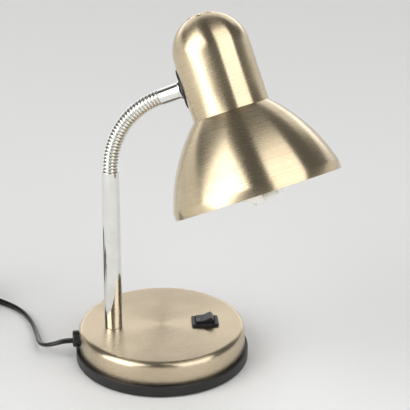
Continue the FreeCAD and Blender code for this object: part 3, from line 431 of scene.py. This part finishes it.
finishes = {
    # spun steel with satin champagne nickel, with brush lines 0.4 mm apart
    "shadeNickel": satinNickel("satinNickelShade", shadeFrame, ("#C9B797", "#DFCFB0"), 0.25, 0.4, 0.16),
    "coverNickel": satinNickel("satinNickelCover", baseFrame, ("#C8B79C", "#D8C8AE"), 0.27, 0.5, 0.04),
    # bright chrome plate on steel: nearly a mirror, very slightly uneven from polishing
    "chrome": plainFinish("chromePlate", ("#E3E2DC", "#EDECE8"), (0.05, 0.09), 1.0, 90.0, 0.000004),
    # ABS from a finely spark-eroded mould, black: a soft broad sheen
    "abs": plainFinish("mouldedAbs", ("#141414", "#1B1B1A"), (0.38, 0.46)),
    # nylon switch parts: smoother and a bit glossier
    "nylon": plainFinish("switchNylon", ("#16171A", "#1D1E21"), (0.28, 0.36)),
    "markedNylon": markedNylon(plainFinish("rockerNylon", ("#16171A", "#1D1E21"), (0.28, 0.36)),
                               (28.3, -1.6), 1.3, 0.35),
    # soft vinyl sheath of the flex: glossy, faintly rippled by the cores in it
    "vinyl": plainFinish("flexVinyl", ("#0E0F0D", "#171814"), (0.18, 0.28), 0.0, 120.0, 0.00003),
    # white enamel sprayed inside the shade
    "enamel": plainFinish("insideEnamel", ("#EFEDE6", "#F5F3EE"), (0.35, 0.45)),
    # a dark matt grey painted inside the shade's cap: painted shade standing in for the shadow deep in the cap
    "capPaintedShade": plainFinish("paintedShadeInCap", ("#232322", "#2C2C2A"), (0.6, 0.7)),
    # sand-cast iron: dark, rough and grainy
    "iron": plainFinish("castIron", ("#2E2C2A", "#3B3936"), (0.62, 0.75), 0.7, 200.0, 0.0001),
    # zinc-plated steel of nuts, screws and washer: pale, slightly dull
    "zinc": plainFinish("zincPlate", ("#AFAFAA", "#C2C2BE"), (0.3, 0.42), 1.0, 150.0),
    # brass stampings: contacts, terminals and plug pins
    "brass": plainFinish("stampedBrass", ("#C9A35A", "#D9B66E"), (0.22, 0.32), 1.0, 150.0),
    # rubber pad under the base: matte
    "rubber": plainFinish("padRubber", ("#181716", "#211F1E"), (0.75, 0.85)),
    # rolled aluminium cap of the bulb
    "aluminium": plainFinish("rolledAluminium", ("#C9CACB", "#D9DADA"), (0.25, 0.35), 1.0, 150.0),
    # white PBT housing of the bulb's ballast
    "pbt": plainFinish("bulbPbt", ("#ECE9E1", "#F2F0EA"), (0.3, 0.4)),
    # glass tube with white phosphor inside: opal, glossy
    "opal": plainFinish("opalGlass", ("#F1EDE2", "#F7F4EC"), (0.08, 0.14), 0.0, 60.0, 0.000004,
                        {"Coat Weight": 0.5, "Coat Roughness": 0.05}),
}
flexPiece.data.materials.append(finishes["vinyl"])
print("materials made")


# ---- base: the cover is drawn steel, the black tray under it keeps its own shape ----

cover = {"radius": 65.0, "top": 28.0, "edge": 5.0, "wall": 0.8, "foot": 4.0, "footEdge": 0.2,
         "stemHole": 5.05, "switchHole": (19.2, 13.2, 0.3), "switchX": 33.84, "bushHole": 4.1,
         "bushHeight": 15.8}


def makeCover(sizes):
    outer, top, edge, wall = sizes["radius"], sizes["top"], sizes["edge"], sizes["wall"]
    profile = [(0, top), (12, top), (30, top), (50, top)]
    profile += arcPoints((outer - edge, top - edge), edge, 90, 0, 12)
    profile += [(outer, sizes["foot"] + sizes["footEdge"]), (outer - sizes["footEdge"], sizes["foot"]),
                (outer - wall, sizes["foot"])]
    profile += arcPoints((outer - edge, top - edge), edge - wall, 0, 90, 6)
    profile += [(0, top - wall)]
    piece = makePiece("baseCoverSkin", turned(profile, 192), baseFrame, "root", [finishes["coverNickel"]],
                      ["base_cover"], 50)
    below, above = top - 8, top + 12
    stemHole = cutterRod(sizes["stemHole"], below, above, stemFrame)
    length, width, corner = sizes["switchHole"]
    switchPlace = axisFrame((sizes["switchX"], 0, 0), up, Vector((1, 0, 0)))
    switchHole = cutterFrom(roundedBlock(length, width, below, above, corner), switchPlace)
    bushPlace = axisFrame((0, 0, sizes["bushHeight"]), Vector((-1, 0, 0)), up)
    bushHole = cutterRod(sizes["bushHole"], outer - 10, outer + 10, bushPlace)
    return cutAway(piece, [stemHole, switchHole, bushHole])


makeCover(cover)
print("base made")


# ---- stem, neck and ferrule ----

# the tube narrows gently from the taper's height, through the (height, radius) pairs of waist, to its top
stem = {"radius": 7.0, "neckRadius": 6.5, "low": 28.0, "taper": 120.0, "waist": [(132, 6.82), (145, 6.62)],
        "top": neck["stemTop"], "bore": 5.4, "threadBore": 5.05, "threadTop": 40, "footEdge": 0.5,
        "topEdge": 0.4}
link = {"radius": 6.0, "root": 5.1, "bore": 3.9, "gap": 0.6, "pitch": neck["pitch"], "ball": 4.75,
        "skirt": 1.3, "socket": 4.9, "web": 0.95,
        "tail": {"low": 148.3, "high": 160.45, "inner": 4.1, "outer": 5.3}}
ferrule = {"radius": 6.2, "length": 19.15, "collar": 7.25, "collarLength": 2.0, "edge": 0.5, "dimple": 2.0,
           "dimpleDepth": 0.8, "dimplePlace": 9.0, "thread": 5.05, "threadLow": 8.15}


def makeStem(sizes):
    radius, low, top, foot, edge = (sizes[name] for name in ("radius", "low", "top", "footEdge", "topEdge"))
    profile = arcPoints((radius - foot, low + foot), foot, -90, 0, 4)
    profile += [(radius, low + 32), (radius, low + 62), (radius, sizes["taper"])]
    profile += [(waist, height) for height, waist in sizes["waist"]]
    profile += arcPoints((sizes["neckRadius"] - edge, top - edge), edge, 0, 90, 4)
    profile += [(sizes["bore"], top), (sizes["bore"], sizes["threadTop"]),
                (sizes["threadBore"], sizes["threadTop"]), (sizes["threadBore"], low)]
    return makePiece("stemTubeChromed", turned(profile, 96), stemFrame, "root", [finishes["chrome"]],
                     ["stem_tube"], 50)


def linkProfile(sizes, first):
    # the crest is a rounded rib; behind it the ball, or the collar over the tail of the first link
    front = sizes["pitch"] - sizes["gap"] / 2
    back = sizes["gap"] / 2
    middle = (front + back) / 2
    half = (front - back) / 2
    rise = sizes["radius"] - sizes["root"]
    arc = (half * half + rise * rise) / (2 * rise)
    spread = math.degrees(math.asin(half / arc))
    profile = arcPoints((sizes["radius"] - arc, middle), arc, -spread, spread, 10)
    socketHigh = math.sqrt(sizes["socket"] ** 2 - back ** 2)
    profile += [(socketHigh, front)]
    angle = math.degrees(math.asin((sizes["pitch"] - sizes["web"]) / sizes["socket"]))
    start = math.degrees(math.asin(back / sizes["socket"]))
    profile += arcPoints((0, sizes["pitch"]), sizes["socket"], -start, -angle, 5)[1:]
    profile += [(sizes["bore"], sizes["web"])]
    if first:
        profile += [(sizes["bore"], -back), (sizes["ball"], -back), (sizes["ball"], back)]
    else:
        profile += [(sizes["bore"], -sizes["skirt"])]
        low = math.degrees(math.asin(sizes["skirt"] / sizes["ball"]))
        high = math.degrees(math.asin(back / sizes["ball"]))
        profile += arcPoints((0, 0), sizes["ball"], -low, high, 6)
    return profile


def makeNeck(sizes):
    for number in range(1, neck["links"] + 1):
        place = axisFrame(neckJoint(number - 1), neckDirection((number - 0.5) * neckStep), sideways)
        body = "root" if number == 1 else "ferrule" if number == neck["links"] else "neck_%02d" % number
        parts = [(turned(linkProfile(sizes, number == 1), 64), place)]
        if number == 1:
            tail = sizes["tail"]
            ring = [(tail["inner"], tail["low"]), (tail["outer"], tail["low"]),
                    (tail["outer"], tail["high"]), (tail["inner"], tail["high"])]
            parts.append((turned(ring, 64), stemFrame))
        makePiece("neckRib%02d" % number, joined(parts), Matrix.Identity(4), body,
                  [finishes["chrome"]], ["neck_link_%02d" % number], 35)


def makeFerrule(sizes):
    radius, length, edge = sizes["radius"], sizes["length"], sizes["edge"]
    collarLow = length - sizes["collarLength"]
    back = link["gap"] / 2
    low = math.degrees(math.asin(link["skirt"] / link["ball"]))
    high = math.degrees(math.asin(back / link["ball"]))
    profile = [(link["bore"], -link["skirt"])]
    profile += arcPoints((0, 0), link["ball"], -low, high, 6)
    profile += [(radius - edge, back)] + arcPoints((radius - edge, back + edge), edge, -90, 0, 4)[1:]
    profile += [(radius, collarLow)] + arcPoints((sizes["collar"] - edge, collarLow + edge), edge, -90, 0, 4)
    profile += arcPoints((sizes["collar"] - edge, length - edge), edge, 0, 90, 4)
    profile += [(sizes["thread"], length), (sizes["thread"], sizes["threadLow"]),
                (link["bore"], sizes["threadLow"])]
    piece = makePiece("neckFerruleChromed", turned(profile, 96), ferruleFrame, "ferrule",
                      [finishes["chrome"]], ["neck_ferrule"], 35)
    mesh = bmesh.new()
    bmesh.ops.create_uvsphere(mesh, u_segments=32, v_segments=20, radius=sizes["dimple"])
    reach = radius + sizes["dimple"] - sizes["dimpleDepth"]
    bmesh.ops.translate(mesh, verts=mesh.verts, vec=(-reach, 0, sizes["dimplePlace"]))
    return cutAway(piece, [cutterFrom(mesh, ferruleFrame)])


makeStem(stem)
makeNeck(link)
makeFerrule(ferrule)
print("stem and neck made")


# ---- shade ----

shade = {"rim": 63.1, "lip": 6.0, "rimEdge": 0.15, "bellTop": 29.5, "bellHeight": 63.1, "bellArc": 127.67,
         "dome": 28.65, "crease": 0.6, "creaseRise": (0.12, -0.1, 0.5), "sideRings": (80, 95),
         "domeHeight": 109.49, "wall": 0.7, "ventRadius": 2.3, "ventCircle": 9.9, "ventPhase": 15.6, "vents": 8,
         "swivelHole": 5.05, "enamelTop": 66.0}

# on the side of the cap, with its axis along the ferrule's
towardsNeck = (shadeFrame @ Matrix.Translation((0, 0, neck["swivelHeight"]))
               @ Matrix.Rotation(-math.pi / 2, 4, "Y"))


def bellCentre(sizes):
    # middle of the bell's arc in (radius, height)
    low = Vector((sizes["rim"], sizes["lip"]))
    high = Vector((sizes["bellTop"], sizes["bellHeight"]))
    chord = high - low
    drop = math.sqrt(sizes["bellArc"] ** 2 - chord.length ** 2 / 4)
    return (low + high) / 2 + Vector((-chord.y, chord.x)).normalized() * drop


def shadeSide(sizes, inset, steps):
    # one face of the wall from the rim to the apex
    centre = bellCentre(sizes)
    arc = sizes["bellArc"] - inset
    top = sizes["bellHeight"] - inset * 0.3
    first = math.degrees(math.asin((sizes["lip"] - centre.y) / arc))
    last = math.degrees(math.asin((top - centre.y) / arc))
    bell = arcPoints(centre, arc, first, last, steps)
    dome = sizes["dome"] - inset
    crease = sizes["bellHeight"] + sizes["crease"]
    side = [(bell[0][0], 0)] + bell
    out, below, above = sizes["creaseRise"]
    side += [(dome + out, crease + below), (dome, crease + above)]
    side += [(dome, height) for height in sizes["sideRings"]]
    side += arcPoints((0, sizes["domeHeight"]), dome, 0, 90, steps // 2)
    return side


def makeShade(sizes):
    outer = shadeSide(sizes, 0, 40)
    inner = shadeSide(sizes, sizes["wall"], 24)
    outside, inside, edge = outer[0][0], inner[0][0], sizes["rimEdge"]
    rim = [((outside + inside) / 2, 0), (outside - edge, 0), (outside, edge)]
    mesh = turned(rim + outer[1:] + inner[::-1], 192)
    mesh.faces.ensure_lookup_table()
    for face in mesh.faces:
        middle = face.calc_center_median()
        height = min(middle.z, sizes["domeHeight"])
        if face.normal.dot(middle - Vector((0, 0, height))) < 0:
            # inside: the bell is enamelled; the cap is painted dark grey as painted shade
            face.material_index = 1 if middle.z < sizes["enamelTop"] else 2
    piece = makePiece("shadeSpun", mesh, shadeFrame, "shade",
                      [finishes["shadeNickel"], finishes["enamel"], finishes["capPaintedShade"]],
                      ["shade"], 30)
    cutters = []
    for index in range(sizes["vents"]):
        angle = math.radians(sizes["ventPhase"] + 360 * index / sizes["vents"])
        outward = Vector((math.cos(angle), math.sin(angle), 0))
        spot = Matrix.Translation(outward * sizes["ventCircle"])
        cutters.append(cutterRod(sizes["ventRadius"], 120, 150, shadeFrame @ spot))
    cutters.append(cutterRod(sizes["swivelHole"], sizes["dome"] - 8.65, sizes["dome"] + 3.35, towardsNeck))
    return cutAway(piece, cutters)


gasket = {"radius": 15.7, "thickness": 1.4, "boss": 8.0, "bossRise": 0.25, "bossEdge": 0.2,
          "seat": shade["dome"], "hole": 5.05, "edge": 0.4, "steps": (11, 13.5)}


def makeGasket(sizes):
    # a flat washer with a raised middle, bent over the cap's side
    outer, thick, edge = sizes["radius"], sizes["thickness"], sizes["edge"]
    face = thick + sizes["bossRise"]
    boss, hole = sizes["boss"], sizes["hole"]
    near, far = sizes["steps"]
    profile = [(hole, 0), (boss, 0), (near, 0), (far, 0), (outer, 0)]
    profile += arcPoints((outer - edge, thick - edge), edge, 0, 90, 4)
    profile += [(far, thick), (near, thick), (boss + sizes["bossEdge"], thick), (boss, face), (hole, face)]
    mesh = turned(profile, 96)
    seat = sizes["seat"]
    for vert in mesh.verts:
        reach = vert.co.y
        if vert.co.xy.length > boss or vert.co.z < thick / 2:
            vert.co.z += math.sqrt(seat * seat - reach * reach) - seat
    place = towardsNeck @ Matrix.Translation((0, 0, seat))
    return makePiece("saddleGasketMoulded", mesh, place, "shade", [finishes["abs"]], ["saddle_gasket"],
                     35)


makeShade(shade)
makeGasket(gasket)
print("shade made")


# ---- finishes of the nodes that keep their own shape ----

nodeFinishes = {
    "abs": ["base_tray", "saddle_gasket", "strain_relief", "lampholder_body"],
    "nylon": ["switch_housing"],
    "markedNylon": ["switch_rocker"],
    "iron": ["ballast_plate"],
    "zinc": ["tray_screws", "stem_washer", "stem_nut", "stem_nipple", "swivel_nipple", "swivel_nut",
             "holder_bracket"],
    "rubber": ["foot_pad"],
    "brass": ["switch_terminals", "lampholder_shell", "lampholder_contact", "plug_pins"],
    "vinyl": ["power_plug", "base_leads", "stem_lead"],
    "aluminium": ["bulb_cap"],
    "pbt": ["bulb_housing"],
    "opal": ["bulb_tube"],
    "chrome": ["stem_tube", "neck_ferrule"] + ["neck_link_%02d" % number for number in range(1, 29)],
    "coverNickel": ["base_cover"],
    "shadeNickel": ["shade"],
}
for finish, names in nodeFinishes.items():
    for name in names:
        nodes[name].data.materials.clear()
        nodes[name].data.materials.append(finishes[finish])
print("nodes finished")


# ---- floor, world and lamps ----

studio = {
    "floor": "#F5F5F4", "floorRadius": 2.3,
    # the room is dark above and pale up to a little over the horizon: (sine of the height angle, strength)
    "room": [(0.15, 0.8), (0.28, 0.12)],
    # soft boxes: side (degrees to the right of the camera), distance, width, height, middle height,
    # roll, brightness
    "boxes": [(-62, 1.9, 1.95, 2.4, 1.2, -10, 2.8), (49, 1.5, 1.75, 3.0, 1.55, -15, 1.8),
              (180, 2.6, 4.4, 1.9, 1.15, 0, 0.95)]}


def towards(side, distance, height):
    # place at a distance from the lamp, on a side counted from the camera's
    turn = math.radians(side)
    return Vector((distance * math.sin(turn), -distance * math.cos(turn), height))


def makeBoxes(settings):
    for side, distance, width, tall, height, roll, brightness in settings["boxes"]:
        light = bpy.data.lights.new("softBox", "AREA")
        light.shape = "RECTANGLE"
        light.size = width
        light.size_y = tall
        light.energy = brightness * math.pi * width * tall
        box = bpy.data.objects.new("softBox", light)
        box.location = towards(side, distance, height)
        facing = (Vector((0, 0, 0.15)) - box.location).to_track_quat("-Z", "Y")
        box.rotation_euler = (facing @ Quaternion((0, 0, 1), math.radians(roll))).to_euler()
        scene.collection.objects.link(box)


def makeFloor(settings):
    mesh = bmesh.new()
    bmesh.ops.create_circle(mesh, cap_ends=True, segments=96, radius=settings["floorRadius"])
    data = bpy.data.meshes.new("studioFloor")
    mesh.to_mesh(data)
    mesh.free()
    floor = bpy.data.objects.new("studioFloor", data)
    scene.collection.objects.link(floor)
    material, tree, shader = newMaterial("studioPaper", {"Roughness": 0.9})
    shader.inputs["Base Color"].default_value = hexColour(settings["floor"])
    data.materials.append(material)


def makeWorld(settings):
    world = bpy.data.worlds.new("studioWorld")
    scene.world = world
    world.use_nodes = True
    tree = world.node_tree
    toward = addNode(tree, "ShaderNodeTexCoord").outputs["Generated"]
    split = addNode(tree, "ShaderNodeSeparateXYZ", None, {"Vector": toward})
    (low, pale), (high, dark) = settings["room"]
    room = addNode(tree, "ShaderNodeMapRange", {"interpolation_type": "SMOOTHSTEP"},
                   {"Value": split.outputs["Z"], "From Min": low, "From Max": high,
                    "To Min": pale, "To Max": dark})
    tree.nodes["Background"].inputs["Color"].default_value = (1, 1, 1, 1)
    tree.links.new(room.outputs[0], tree.nodes["Background"].inputs["Strength"])


makeFloor(studio)
makeWorld(studio)
makeBoxes(studio)
print("studio made")

bpy.context.view_layer.update()
